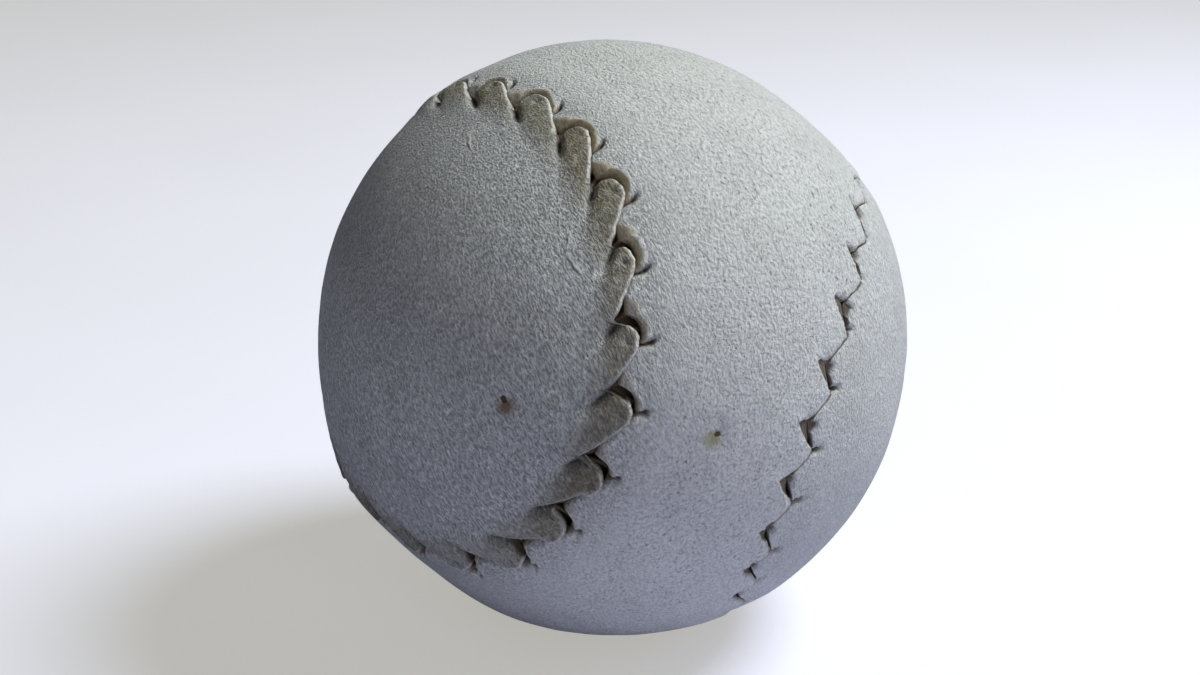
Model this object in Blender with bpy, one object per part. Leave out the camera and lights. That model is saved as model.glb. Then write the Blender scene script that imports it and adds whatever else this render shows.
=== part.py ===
"""Fronton ball: a hand-pelota ball, built as it is made, from its wooden core out to its sewn cover.

Lengths are metres, +Z is up, and the origin is the middle of the ball.
"""

import math

import bmesh
import bpy
import numpy as np
from mathutils import kdtree

# Ball and layers
BALL_DIAMETER = 0.0640
CORE_DIAMETER = 0.0180
LATEX_BUILD = 0.0092
COTTON_BUILD = 0.0018
LEATHER_THICKNESS = 0.0016
LAYER_GAP = 0.0003

# Wound strips, each measured where it lies on the layer below
LATEX_STRIP_WIDTH = 0.0060
WOOL_STRIP_WIDTH = 0.0100
COTTON_STRIP_WIDTH = 0.0120
TURN_GAP = 0.0006

# Pitches from a pole to the middle of a strip's first turn
POLE_EYE = 0.75

# Seam: panel edges, stitch notches and thread
STITCH_PITCH = 0.00655
SEAM_GAP = 0.0006
SEAM_WANDER = 0.0026
LOBE_REACH = 0.0010
LOBE_RISE = 0.0003
LOBE_CROWN_SET = 0.0015
EDGE_ROUND = 0.0003
SKIVE_WIDTH = 0.0034
SKIVE_SLOPE = 0.0012
HOLE_SET = 0.0020
HOLE_APPROACH = 0.0010
NOTCH_TAPER = 0.8
THREAD_DIAMETER = 0.0006
THREAD_CLEARANCE = 0.0003

# Shares of a pitch: from the thread's last point to its first hole, and along a lobe from notch to notch
THREAD_TAIL = 0.28
LOBE_SHARES = np.array([0.0, 0.25, 0.5, 0.75])

# Shape of the seam on a ball of unit radius, and how far each panel's middle line runs from its waist
SEAM_FOLD = 0.634
SEAM_RISE = 1.082
SEAM_WANDER_PHASE = math.radians(-105.0)
PANEL_MIDLINE = math.radians(112.0)

# How the ball lies, and how each winding crosses the one below it
BALL_TURN = (math.radians(85.8), math.radians(-63.3), math.radians(-155.7))
LATEX_TURN = (0.0, 0.0, 0.0)
WOOL_TURN = (math.radians(90.0), 0.0, 0.0)
COTTON_TURN = (math.radians(40.0), math.radians(60.0), 0.0)

# Fineness of the facets
SEAM_SAMPLES = 4096
FINE_COLUMNS = 112
COARSE_COLUMNS = 56
PANEL_ROWS = (0.0, 0.25, 0.5, 0.75, 1.0)
STATIONS_PER_TURN = 24
STRIP_FACES = 2
CORE_SEGMENTS = 20
THREAD_BEVEL_RESOLUTION = 1
GAP_CHECK_STEP = 0.0002
MERGE_DISTANCE = 1e-6
SHARP_ANGLE = math.radians(45.0)

# Radii that follow from the layers
BALL_RADIUS = BALL_DIAMETER / 2
COVER_INSIDE = BALL_RADIUS - LEATHER_THICKNESS
COTTON_OUTSIDE = COVER_INSIDE - LAYER_GAP
COTTON_INSIDE = COTTON_OUTSIDE - COTTON_BUILD
WOOL_OUTSIDE = COTTON_INSIDE - LAYER_GAP
LATEX_INSIDE = CORE_DIAMETER / 2 + LAYER_GAP
LATEX_OUTSIDE = LATEX_INSIDE + LATEX_BUILD
WOOL_INSIDE = LATEX_OUTSIDE + LAYER_GAP

# Seam sizes that follow from the thread
THREAD_RADIUS = THREAD_DIAMETER / 2
THREAD_LOW = COTTON_OUTSIDE + THREAD_CLEARANCE + THREAD_RADIUS
THREAD_HIGH = BALL_RADIUS - THREAD_RADIUS
SKIVE_RADIUS = THREAD_LOW + THREAD_RADIUS + THREAD_CLEARANCE
EDGE_TOP = BALL_RADIUS - min(EDGE_ROUND, (BALL_RADIUS - SKIVE_RADIUS) / 2)
NOTCH_HALF_WIDTH = THREAD_RADIUS + THREAD_CLEARANCE
NOTCH_END = HOLE_SET + THREAD_RADIUS + THREAD_CLEARANCE


def unit(vectors):
    return vectors / np.linalg.norm(vectors, axis=-1, keepdims=True)


def arc_between(start, end, share):
    """Directions a share of the way along the great arcs from start to end."""
    angle = np.arccos(np.clip((start * end).sum(axis=1), -1.0, 1.0))[:, None]
    return (np.sin((1 - share) * angle) * start + np.sin(share * angle) * end) / np.sin(angle)


class Seam:
    """The closed line where the two panels meet, with places along it counted in stitches."""

    def __init__(self):
        self.turn = np.linspace(0.0, 2 * math.pi, SEAM_SAMPLES, endpoint=False)
        x = np.cos(self.turn) + SEAM_FOLD * np.cos(3 * self.turn)
        y = np.sin(self.turn) - SEAM_FOLD * np.sin(3 * self.turn)
        z = SEAM_RISE * np.sin(2 * self.turn)
        even = unit(np.stack([x, y, z], axis=1))
        wander = SEAM_WANDER / BALL_RADIUS * np.cos(self.turn - SEAM_WANDER_PHASE)
        self.points = unit(even + wander[:, None] * self.sideways(even))
        self.across = self.sideways(self.points)
        steps = np.linalg.norm(np.roll(self.points, -1, axis=0) - self.points, axis=1)
        self.length = BALL_RADIUS * steps.sum()
        self.stitches = round(self.length / STITCH_PITCH)
        self.pitch = self.length / self.stitches
        run = np.concatenate([[0.0], np.cumsum(steps)[:-1]])
        self.phase = self.stitches * run / steps.sum()

    @staticmethod
    def sideways(points):
        along = np.roll(points, -1, axis=0) - np.roll(points, 1, axis=0)
        return np.cross(points, unit(along))

    def phase_at(self, turn):
        return np.interp(turn, self.turn, self.phase, period=2 * math.pi)

    def read(self, values, phase):
        columns = [np.interp(phase, self.phase, values[:, axis], period=self.stitches) for axis in range(3)]
        return unit(np.stack(columns, axis=1))

    def place(self, phase, offset):
        """Directions at these phases, pushed sideways over the ball by these distances."""
        angle = (np.asarray(offset) / BALL_RADIUS)[:, None]
        middle = self.read(self.points, phase)
        return np.cos(angle) * middle + np.sin(angle) * self.read(self.across, phase)


class Panel:
    """One figure-of-eight panel on the given side of the seam, +1 or -1."""

    def __init__(self, seam, side):
        self.seam = seam
        self.side = side
        self.first_hole = 0.0 if side > 0 else 0.5
        self.waist = np.array([0.0, 0.0, side])
        self.lobe_way = unit(np.array([1.0, -side, 0.0]))

    def holes(self):
        return np.arange(self.seam.stitches) + self.first_hole

    def inset_at(self, share):
        """How far the panel's edge stands in from the middle of the seam, a share of a pitch past a notch."""
        return LOBE_REACH * np.cos(2 * math.pi * np.asarray(share)) + SEAM_GAP / 2

    def ring(self, mesh, directions, phases, radii):
        """A closed ring of vertices in order of phase, with the first one repeated at the end."""
        order = np.argsort(phases)
        radii = np.broadcast_to(radii, len(phases))
        verts = [mesh.verts.new(directions[i] * radii[i]) for i in order]
        return verts + verts[:1]

    def lobed_ring(self, mesh, shares, insets, radii):
        """A ring that repeats at each stitch, given along one pitch from the notch."""
        stitches = self.seam.stitches
        phases = (self.holes()[:, None] + shares).ravel() % stitches
        directions = self.seam.place(phases, self.side * np.tile(insets, stitches))
        return self.ring(mesh, directions, phases, np.tile(np.broadcast_to(radii, len(shares)), stitches))

    def edge_ring(self, mesh, radius):
        """The cut edge: a notch round each stitch hole, then a lobe up to the next notch."""
        notch = NOTCH_HALF_WIDTH / self.seam.pitch
        shares = np.array([-notch, -NOTCH_TAPER * notch, NOTCH_TAPER * notch, notch, 0.25, 0.5, 0.75])
        insets = self.inset_at(shares)
        insets[1:3] = NOTCH_END
        return self.lobed_ring(mesh, shares, insets, radius)

    def crown_ring(self, mesh):
        """The top of the swell that the pulled thread leaves on each lobe."""
        swell = LOBE_RISE * (1 - np.cos(2 * math.pi * LOBE_SHARES)) / 2
        insets = self.inset_at(LOBE_SHARES) + LOBE_CROWN_SET
        return self.lobed_ring(mesh, LOBE_SHARES, insets, BALL_RADIUS + swell)

    def skive_ring(self, mesh):
        """Where the thinned edge ends on the inside, past the notches."""
        insets = np.full(len(LOBE_SHARES), SKIVE_WIDTH)
        return self.lobed_ring(mesh, LOBE_SHARES, insets, SKIVE_RADIUS)

    def columns(self, count):
        """Phases spread evenly round the panel, and the middle-line direction that each looks to."""
        turn = 2 * math.pi * np.arange(count) / count - math.pi / 4
        lean = PANEL_MIDLINE * np.sin(math.pi / 4 - self.side * turn)[:, None]
        return self.seam.phase_at(turn), np.cos(lean) * self.waist + np.sin(lean) * self.lobe_way

    def smooth_ring(self, mesh, count, inset, share, radius):
        """A plain ring, a share of the way from an inset line to the panel's middle line."""
        phases, middle = self.columns(count)
        start = self.seam.place(phases, np.full(count, self.side * inset))
        return self.ring(mesh, arc_between(start, middle, share), phases, radius)

    def build(self, name):
        mesh = bmesh.new()
        inset = SKIVE_WIDTH + SKIVE_SLOPE
        flats = COVER_INSIDE / math.cos(self.seam.length / BALL_RADIUS / COARSE_COLUMNS / 2)
        outside = [self.edge_ring(mesh, EDGE_TOP), self.crown_ring(mesh)]
        inside = [self.edge_ring(mesh, SKIVE_RADIUS), self.skive_ring(mesh)]
        for share in PANEL_ROWS:
            count = FINE_COLUMNS if share < 0.5 else COARSE_COLUMNS
            outside.append(self.smooth_ring(mesh, count, inset, share, BALL_RADIUS))
            inside.append(self.smooth_ring(mesh, COARSE_COLUMNS, inset, share, flats))
        rings = outside[::-1] + inside
        for near, far in zip(rings, rings[1:]):
            zip_rings(mesh, near, far)
        return finished(name, mesh)


def zip_rings(mesh, near, far):
    """Triangles between two closed rings: in turn where they match, and else across the shorter way."""
    i = j = 0
    while i + 1 < len(near) or j + 1 < len(far):
        if i + 1 == len(near) or j + 1 == len(far):
            step_near = j + 1 == len(far)
        elif len(near) == len(far):
            step_near = i == j
        else:
            near_way = (near[i + 1].co - far[j].co).length
            step_near = near_way <= (near[i].co - far[j + 1].co).length
        if step_near:
            mesh.faces.new((near[i], near[i + 1], far[j]))
            i += 1
        else:
            mesh.faces.new((near[i], far[j + 1], far[j]))
            j += 1


def finished(name, mesh):
    bmesh.ops.remove_doubles(mesh, verts=mesh.verts, dist=MERGE_DISTANCE)
    bmesh.ops.recalc_face_normals(mesh, faces=mesh.faces)
    data = bpy.data.meshes.new(name)
    mesh.to_mesh(data)
    mesh.free()
    data.shade_smooth()
    data.set_sharp_from_angle(angle=SHARP_ANGLE)
    return bpy.data.objects.new(name, data)


def make_core():
    mesh = bmesh.new()
    bmesh.ops.create_uvsphere(
        mesh, u_segments=CORE_SEGMENTS, v_segments=CORE_SEGMENTS // 2, radius=CORE_DIAMETER / 2
    )
    return finished("core", mesh)


def least_distance(points, others):
    tree = kdtree.KDTree(len(others))
    for number, other in enumerate(others):
        tree.insert(other, number)
    tree.balance()
    return min(tree.find(point)[2] for point in points)


def make_winding(name, inside, outside, width, turn):
    """One unbroken strip, wound from pole to pole and as deep as its layer."""
    pitch = (width + TURN_GAP) / inside
    half_width = width / inside / 2
    turns = math.pi / pitch - 2 * POLE_EYE
    flats = inside / math.cos(math.pi / STATIONS_PER_TURN) / math.cos(half_width / STRIP_FACES)
    mesh = bmesh.new()
    stations = round(turns * STATIONS_PER_TURN)
    bmesh.ops.create_grid(mesh, x_segments=stations, y_segments=STRIP_FACES, size=0.5)
    leading = [vert for vert in mesh.verts if vert.co.y > 0.49]
    trailing = [vert for vert in mesh.verts if vert.co.y < -0.49]
    for vert in mesh.verts:
        along, across = vert.co.x + 0.5, 2 * vert.co.y
        polar = pitch * (POLE_EYE + turns * along) + half_width * across
        around = 2 * math.pi * turns * along
        level = math.sin(polar)
        vert.co = (level * math.cos(around), level * math.sin(around), math.cos(polar))
        vert.co *= flats
    gap = least_distance([vert.co for vert in leading], [vert.co for vert in trailing])
    print(f"{name}: least gap between turns {1000 * gap:.2f} mm")
    skin = bmesh.ops.extrude_face_region(mesh, geom=mesh.faces[:])["geom"]
    raised = [item for item in skin if isinstance(item, bmesh.types.BMVert)]
    bmesh.ops.scale(mesh, vec=(outside / flats,) * 3, verts=raised)
    winding = finished(name, mesh)
    winding.rotation_euler = turn
    return winding


def thread_path(seam):
    """Down one side and up the other: under a lobe, up through a hole, over into the seam and under again."""
    approach = HOLE_APPROACH / seam.pitch
    places = []
    for number in range(seam.stitches):
        for side in (1, -1):
            hole = number + (0.0 if side > 0 else 0.5)
            places += [
                (hole - approach, side * HOLE_SET, THREAD_LOW),
                (hole, side * HOLE_SET, THREAD_LOW),
                (hole, side * (HOLE_SET - THREAD_RADIUS), THREAD_HIGH),
                (hole, side * THREAD_DIAMETER, THREAD_LOW),
            ]
    places.append((seam.stitches - THREAD_TAIL, 0.0, THREAD_LOW))
    phase, offset, radius = np.array(places).T
    return seam.place(phase, offset) * radius[:, None]


def print_thread_gap(path):
    """Measures the thread on close points, each against those several diameters away along it."""
    ends = np.concatenate([[0.0], np.cumsum(np.linalg.norm(np.diff(path, axis=0), axis=1))])
    run = np.arange(0.0, ends[-1], GAP_CHECK_STEP)
    points = np.stack([np.interp(run, ends, path[:, axis]) for axis in range(3)], axis=1)
    tree = kdtree.KDTree(len(points))
    for number, point in enumerate(points):
        tree.insert(point, number)
    tree.balance()
    near = 4 * THREAD_DIAMETER
    distances = [
        distance
        for number, point in enumerate(points)
        for _, other, distance in tree.find_range(point, near)
        if abs(other - number) * GAP_CHECK_STEP > near
    ]
    gap = min(distances, default=near) - THREAD_DIAMETER
    print(f"seam_thread: least gap to itself {1000 * gap:.2f} mm")


def make_thread(seam):
    path = thread_path(seam)
    print_thread_gap(path)
    curve = bpy.data.curves.new("seam_thread", "CURVE")
    curve.dimensions = "3D"
    curve.bevel_depth = THREAD_RADIUS
    curve.bevel_resolution = THREAD_BEVEL_RESOLUTION
    curve.use_fill_caps = True
    spline = curve.splines.new("POLY")
    spline.points.add(len(path) - 1)
    for point, place in zip(spline.points, path):
        point.co = (*place, 1.0)
    return bpy.data.objects.new("seam_thread", curve)


def material(name, colour, roughness):
    made = bpy.data.materials.new(name)
    made.use_nodes = True
    shader = made.node_tree.nodes["Principled BSDF"]
    shader.inputs["Base Color"].default_value = (*colour, 1.0)
    shader.inputs["Roughness"].default_value = roughness
    shader.inputs["Metallic"].default_value = 0.0
    return made


def main():
    for old in list(bpy.data.objects):
        bpy.data.objects.remove(old)
    collection = bpy.data.collections.new("fronton_ball")
    bpy.context.scene.collection.children.link(collection)
    ball = bpy.data.objects.new("ball", None)
    ball.rotation_euler = BALL_TURN
    collection.objects.link(ball)

    boxwood = material("boxwood", (0.55, 0.36, 0.17), 0.5)
    latex = material("latex", (0.62, 0.52, 0.36), 0.6)
    wool = material("wool", (0.72, 0.68, 0.60), 0.95)
    cotton = material("cotton", (0.80, 0.78, 0.72), 0.9)
    leather = material("leather", (0.62, 0.62, 0.61), 0.75)
    thread = material("waxed_thread", (0.16, 0.13, 0.09), 0.6)

    seam = Seam()
    pieces = (
        (make_core(), boxwood),
        (make_winding("latex_winding", LATEX_INSIDE, LATEX_OUTSIDE, LATEX_STRIP_WIDTH, LATEX_TURN), latex),
        (make_winding("wool_winding", WOOL_INSIDE, WOOL_OUTSIDE, WOOL_STRIP_WIDTH, WOOL_TURN), wool),
        (make_winding("cotton_winding", COTTON_INSIDE, COTTON_OUTSIDE, COTTON_STRIP_WIDTH, COTTON_TURN), cotton),
        (Panel(seam, 1).build("cover_panel_1"), leather),
        (Panel(seam, -1).build("cover_panel_2"), leather),
        (make_thread(seam), thread),
    )
    for piece, finish in pieces:
        piece.parent = ball
        piece.data.materials.append(finish)
        collection.objects.link(piece)


main()
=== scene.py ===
"""A hand-sewn fronton ball: two leather panels gathered along one seam, over windings and a wooden core.

The script dresses the packed CAD frame. The leather is modelled as it is sewn: each panel ends in tongues or
plain lobes between its stitch holes, the thread draws them down, and the cut edge shows where they part.
"""

import math

import bmesh
import bpy
import numpy as np
from bpy.props import FloatProperty, FloatVectorProperty, IntProperty, PointerProperty
from bpy.types import Operator, Panel, PropertyGroup
from mathutils import Euler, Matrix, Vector, noise


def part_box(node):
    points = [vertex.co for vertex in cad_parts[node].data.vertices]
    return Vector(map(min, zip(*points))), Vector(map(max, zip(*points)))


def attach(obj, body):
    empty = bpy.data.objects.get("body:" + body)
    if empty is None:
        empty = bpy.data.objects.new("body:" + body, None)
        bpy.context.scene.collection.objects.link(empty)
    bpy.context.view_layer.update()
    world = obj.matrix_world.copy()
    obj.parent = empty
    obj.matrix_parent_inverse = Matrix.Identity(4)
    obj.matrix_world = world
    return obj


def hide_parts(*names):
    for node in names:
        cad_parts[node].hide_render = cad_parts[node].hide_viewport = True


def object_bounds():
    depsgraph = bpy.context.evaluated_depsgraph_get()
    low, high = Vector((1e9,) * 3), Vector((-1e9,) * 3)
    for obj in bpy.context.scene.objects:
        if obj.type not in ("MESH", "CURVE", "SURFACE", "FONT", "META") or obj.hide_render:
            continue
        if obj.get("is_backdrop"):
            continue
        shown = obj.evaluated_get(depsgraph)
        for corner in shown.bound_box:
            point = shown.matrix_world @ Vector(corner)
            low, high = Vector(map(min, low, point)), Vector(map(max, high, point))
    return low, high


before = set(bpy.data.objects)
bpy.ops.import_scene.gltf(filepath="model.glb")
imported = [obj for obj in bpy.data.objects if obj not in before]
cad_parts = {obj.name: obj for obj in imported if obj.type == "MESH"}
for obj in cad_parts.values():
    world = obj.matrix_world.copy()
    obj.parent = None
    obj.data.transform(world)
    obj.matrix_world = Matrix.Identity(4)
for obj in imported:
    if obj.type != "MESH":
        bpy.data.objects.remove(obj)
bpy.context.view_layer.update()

bl_info = {
    "name": "Fronton ball",
    "version": (1, 0, 0),
    "blender": (4, 5, 0),
    "location": "View3D > Sidebar > Fronton Ball",
    "description": "Builds a hand-sewn leather fronton ball with its windings, core and a plain stage",
    "category": "Add Mesh",
}

MM = 0.001
FULL_TURN = 2 * math.pi

# Settings


def length_setting(name, description, default):
    return FloatProperty(name=name, description=description, default=default, unit="LENGTH")


def factor_setting(name, description, default):
    return FloatProperty(name=name, description=description, default=default, subtype="FACTOR")


def colour_setting(name, description, default):
    return FloatVectorProperty(name=name, description=description, default=default, subtype="COLOR")


class BallSettings(PropertyGroup):
    """Sizes of the ball and how it lies."""

    diameter: length_setting("Diameter", "Across the finished ball", 64 * MM)
    leather: length_setting("Leather", "Thickness of the cover", 1.6 * MM)
    wander: length_setting("Wander", "How far the hand-sewn seam strays", 2.6 * MM)
    turn: FloatVectorProperty(
        name="Turn",
        description="How the ball lies on the floor",
        default=(math.radians(85.8), math.radians(-63.3), math.radians(-155.7)),
        subtype="EULER",
    )


class SewingSettings(PropertyGroup):
    """How the seam is sewn."""

    stitches: IntProperty(name="Stitches", description="Holes along each panel's edge", default=57)
    swing: length_setting("Swing", "Half the seam line's swing from side to side", 0.75 * MM)
    slip: length_setting("Slip", "How far the first panel's holes run on between plain lobes", 1.1 * MM)
    pocket: length_setting("Pocket", "Gap above a tongue's tip", 0.7 * MM)
    thread: length_setting("Thread", "Diameter of the waxed thread", 0.6 * MM)
    thread_colour: colour_setting("Thread colour", "Waxed thread", (0.15, 0.10, 0.050))
    seed: IntProperty(name="Seed", description="Chooses the unevenness of the hand", default=7)


class LeatherSettings(PropertyGroup):
    """Colours and grain of the leather."""

    hide: colour_setting("Hide", "Pale tanned hide", (0.68, 0.69, 0.68))
    handled: colour_setting("Handled", "Hide greyed by play", (0.53, 0.535, 0.525))
    # Painted shade: a dark colour put into the folds, slits, notches, stitch holes, the foot of the cut wall,
    # the underside and the pinhole's core
    painted_shade: colour_setting("Crevice", "Shading in the folds", (0.095, 0.064, 0.034))
    grain: length_setting("Grain", "Size of the grain", 0.30 * MM)
    nap: FloatVectorProperty(
        name="Nap", description="The way the nap lies", default=(0.45, -0.31, -0.84), subtype="DIRECTION"
    )


def settings_group(name, note, fields):
    """A group of settings that several pieces have, each with its own defaults."""
    return type(name, (PropertyGroup,), {"__doc__": note, "__annotations__": fields})


def panel_settings(name, note, stain, cut_edge, smoothed, pinhole, trail, rust):
    """The settings of one leather panel."""
    fields = {
        "stain": colour_setting("Stain", "Leather stained by wax", stain),
        "cut_edge": colour_setting("Cut edge", "Raw edge of the leather", cut_edge),
        "smoothed": factor_setting("Smoothed", "How far wax smooths the leather", smoothed),
        "pinhole": FloatVectorProperty(
            name="Pinhole",
            description="Along the seam, and in from it",
            default=pinhole,
            size=2,
            unit="LENGTH",
        ),
        "trail": FloatVectorProperty(
            name="Trail", description="From the pinhole to its rust", default=trail, subtype="TRANSLATION"
        ),
        "rust": colour_setting("Rust", "Rust or scuff beside the pinhole", rust),
    }
    return settings_group(name, note, fields)


Panel1Settings = panel_settings(
    "Panel1Settings",
    "The first panel, which ends in tongues.",
    stain=(0.225, 0.195, 0.12),
    cut_edge=(0.86, 0.84, 0.78),
    smoothed=0.1,
    pinhole=(325.5 * MM, 10.8 * MM),
    trail=(0.23 * MM, -0.21 * MM, -0.58 * MM),
    rust=(0.26, 0.155, 0.085),
)
Panel2Settings = panel_settings(
    "Panel2Settings",
    "The second panel, with a lip round each tongue.",
    stain=(0.50, 0.42, 0.25),
    cut_edge=(0.33, 0.25, 0.135),
    smoothed=0.85,
    pinhole=(329.4 * MM, 9.5 * MM),
    trail=(-0.44 * MM, -0.17 * MM, -0.46 * MM),
    rust=(0.37, 0.34, 0.20),
)


def winding_settings(
    name, note, build, turns, width, thickness, plies, twist, colour, shade, soaked, roughness
):
    """The settings of one wound layer."""
    fields = {
        "build": length_setting("Build", "Thickness of the whole layer", build),
        "turns": IntProperty(name="Turns", description="Turns that show", default=turns),
        "width": length_setting("Width", "Width of a turn", width),
        "thickness": length_setting("Thickness", "Thickness of a turn", thickness),
        "plies": IntProperty(name="Plies", description="Strands side by side in a turn", default=plies),
        "twist": length_setting("Twist", "Length of one twist", twist),
        "colour": colour_setting("Colour", "Paler turns", colour),
        "shade": colour_setting("Shade", "Darker turns", shade),
        "soaked": colour_setting("Soaked", "Strands under the seam, soaked by its wax", soaked),
        "roughness": factor_setting("Roughness", "Roughness of the strands", roughness),
    }
    return settings_group(name, note, fields)


LatexSettings = winding_settings(
    "LatexSettings",
    "Latex strip wound over the core.",
    build=9.2 * MM,
    turns=34,
    width=6.0 * MM,
    thickness=0.9 * MM,
    plies=2,
    twist=40.0 * MM,
    colour=(0.55, 0.40, 0.22),
    shade=(0.44, 0.30, 0.15),
    soaked=(0.40, 0.27, 0.13),
    roughness=0.42,
)
WoolSettings = winding_settings(
    "WoolSettings",
    "Wool yarn, the bulk of the ball.",
    build=9.2 * MM,
    turns=150,
    width=2.6 * MM,
    thickness=1.2 * MM,
    plies=3,
    twist=5.0 * MM,
    colour=(0.62, 0.55, 0.44),
    shade=(0.47, 0.40, 0.31),
    soaked=(0.40, 0.33, 0.24),
    roughness=0.85,
)
CottonSettings = winding_settings(
    "CottonSettings",
    "Cotton thread that binds the wool.",
    build=1.8 * MM,
    turns=130,
    width=3.2 * MM,
    thickness=0.5 * MM,
    plies=7,
    twist=3.0 * MM,
    colour=(0.72, 0.68, 0.60),
    shade=(0.60, 0.56, 0.48),
    soaked=(0.22, 0.145, 0.065),
    roughness=0.75,
)


class CoreSettings(PropertyGroup):
    """The turned wooden core."""

    diameter: length_setting("Diameter", "Across the core", 18 * MM)
    colour: colour_setting("Colour", "Early wood", (0.62, 0.44, 0.22))
    shade: colour_setting("Shade", "Late wood", (0.50, 0.33, 0.14))


class StageSettings(PropertyGroup):
    """Camera, light and floor."""

    elevation: FloatProperty(
        name="Elevation", description="Camera above the horizon", default=math.radians(20), unit="ROTATION"
    )
    distance: length_setting("Distance", "From the camera to the ball's centre", 192 * MM)
    lens: FloatProperty(name="Lens", description="Focal length in millimetres", default=52.7)
    shift: FloatVectorProperty(
        name="Shift", description="Camera shift right and up", default=(-0.0103, 0.0007), size=2
    )
    key: FloatProperty(name="Key light", description="Power of the light from above, in watts", default=2.442)
    low: FloatProperty(name="Low light", description="Power of the light in front, in watts", default=2.178)
    floor: colour_setting("Floor", "Pale floor", (0.65, 0.66, 0.88))


# Fineness of the meshes

FINE_COLUMNS = 2016
COLUMN_STEP = 4
EDGE_ROWS = 26
EDGE_CROWDING = 1.6
INNER_ROWS = 38
UNDERSIDE_ROWS = 6
WALL_ROWS = 4
THREAD_SIDES = 9
THREAD_STEPS = 7
CORE_SEGMENTS = 72
PHASE_STEPS = 8 * FINE_COLUMNS
WINDING_OUTSIDE = 6
WINDING_INSIDE = 4
SOAKED_STEP = 8

# The seam on a ball of unit radius, and how far each panel's middle line runs from its waist
SEAM_FOLD = 0.634
SEAM_RISE = 1.082
WANDER_START = math.radians(-105)
MIDDLE_LINE = math.radians(112)

# Spacing of the holes: places are shares of the seam, and the lag is a share of a stitch
SPACING_DRIFT = 0.093
DRIFT_PLACE = 0.471
FIRST_HOLE = 0.973
LAG = 0.383
LAG_SWING = 0.339
LAG_PLACE = 0.429
LAG_LIMITS = (0.3, 0.72)
TONGUE_PLACE = 0.88
GAPE_PLACE = 0.29
GAPE_SWING = 0.35

# Unevenness of the hand: limits of the seeded draws for each stitch
HOLE_DRAW = (-0.03, 0.03)
SLIP_DRAW = (0.5, 1.3)
POCKET_DRAW = (0.5, 1.3)
FULLNESS_DRAW = (0.94, 1.06)
GAPE_DRAW = (0.65, 0.95)
WING_DRAW = (0.15, 1.0)
SOIL_DRAW = (0.8, 1.0)

# Marks of the hand: place along the seam, how much, spread
STRAYS = (
    (116 * MM, -0.7 * MM, 10 * MM),
    (144 * MM, 0.65 * MM, 11 * MM),
    (308 * MM, 0.75 * MM, 12 * MM),
    (341 * MM, -0.3 * MM, 8 * MM),
)
WIDE_POCKETS = (
    (329 * MM, 0.6 * MM, 5 * MM),
    (311 * MM, 0.5 * MM, 8 * MM),
)
SHORT_TONGUES = ((336 * MM, -0.32, 6 * MM),)
# Stretch where the stained tongues are painted darker still, in the colour of the painted shade
DARKENED_TONGUES = ((324 * MM, 0.4, 8 * MM),)
GREYED_TONGUES = ((304 * MM, 0.5, 9 * MM),)
WAXED_LIPS = ((354 * MM, 1.0, 16 * MM),)

# The end of a tongue on a stitch of this length: a half round on two sides that lean off the seam
TONGUE_STEP = 6.55 * MM
TONGUE_LEAN = math.radians(30)
TONGUE_HALF = 1.62 * MM
TONGUE_CENTRE = (1.68 * MM, -0.75 * MM)
TONGUE_TOP = 1.3 * MM
TONGUE_HOLE = 1.15 * MM
TONGUE_FALL = 4.0
NOTCH = 1.6 * MM

# Cut edges: how ragged they are, and the gap between them
FRAY_STEP = 0.38 * MM
SEAM_FRAY = 0.04 * MM
TONGUE_FRAY = 0.11 * MM
FRAYED_OVER = 0.3 * MM
EDGE_GAP = 0.02 * MM
LOBE_GAP = 0.13 * MM
LOBE_GAP_BELOW = 0.16 * MM
LIP_GAP = 0.1 * MM

# The lip that the second panel turns up round a tongue
LIP_POCKET = 0.25
LIP_EDGE = -1.1 * MM
LIP_BASE = -0.3 * MM
LIP_ROUND = 0.8 * MM
LIP_REACH = 0.58 * MM
LIP_LEAST = 0.4 * MM
LIP_FULL = 0.5 * MM
LIP_NARROW = 0.1 * MM

# Where the leather sits over the cotton, and how the stitches draw it down along the seam
LINING_GAP = 0.05 * MM
FOOT_RISE = 0.25 * MM
EDGE_ZONE = 6 * MM
SINK = 0.28 * MM
SINK_WIDTH = 3.2 * MM
SINK_LESS = {1: 0.36 * MM, -1: 0.38 * MM}
DENT_DEPTH = 0.4 * MM
DENT_EDGE = 0.15 * MM
DENT_LEAST = 0.3 * MM

# Open notches between plain lobes: how deep and how long, on each panel
TRIANGLE = (1.75 * MM, 2.6 * MM)
WING = (1.3 * MM, 1.1 * MM)
NOTCH_RISE = 0.3 * MM
NOTCH_CURVE = 0.8

# Relief of the first panel: a pair is a value at the lobes and at the tongues, or where a form fades
FOLD_LEANS = (0.4, 1.7)
FOLD_DEPTH = 1.15 * MM
FOLD_FADE = 3.2 * MM
FOLD_SIDE = 0.2 * MM
FOLD_OPEN = (-0.1 * MM, 0.25 * MM)
GROOVE_WIDTH = 0.2 * MM
GROOVE_SPREAD = 0.06
SLIT_DEPTH = 0.8 * MM
SLIT_WIDTH = 0.27 * MM
SLIT_ENDS = (1.1 * MM, 1.9 * MM)
SWELLS = (0.06 * MM, 0.27 * MM)
SWELL_START = 0.7 * MM
SWELL_ENDS = (2.0 * MM, 5.5 * MM)
RIM_RISE = 0.14 * MM
RIM_SET = 0.2 * MM
RIM_WIDTH = 0.25 * MM
RIM_COVERED = (0.4 * MM, 0.8 * MM)
HOLE_DEPTH = 0.3 * MM
HOLE_SET = 0.95 * MM
HOLE_WIDTHS = (0.32 * MM, 0.35 * MM)
STAIN_ENDS = (1.2 * MM, 4.6 * MM)
STAIN_FARTHER = 1.0 * MM

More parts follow.
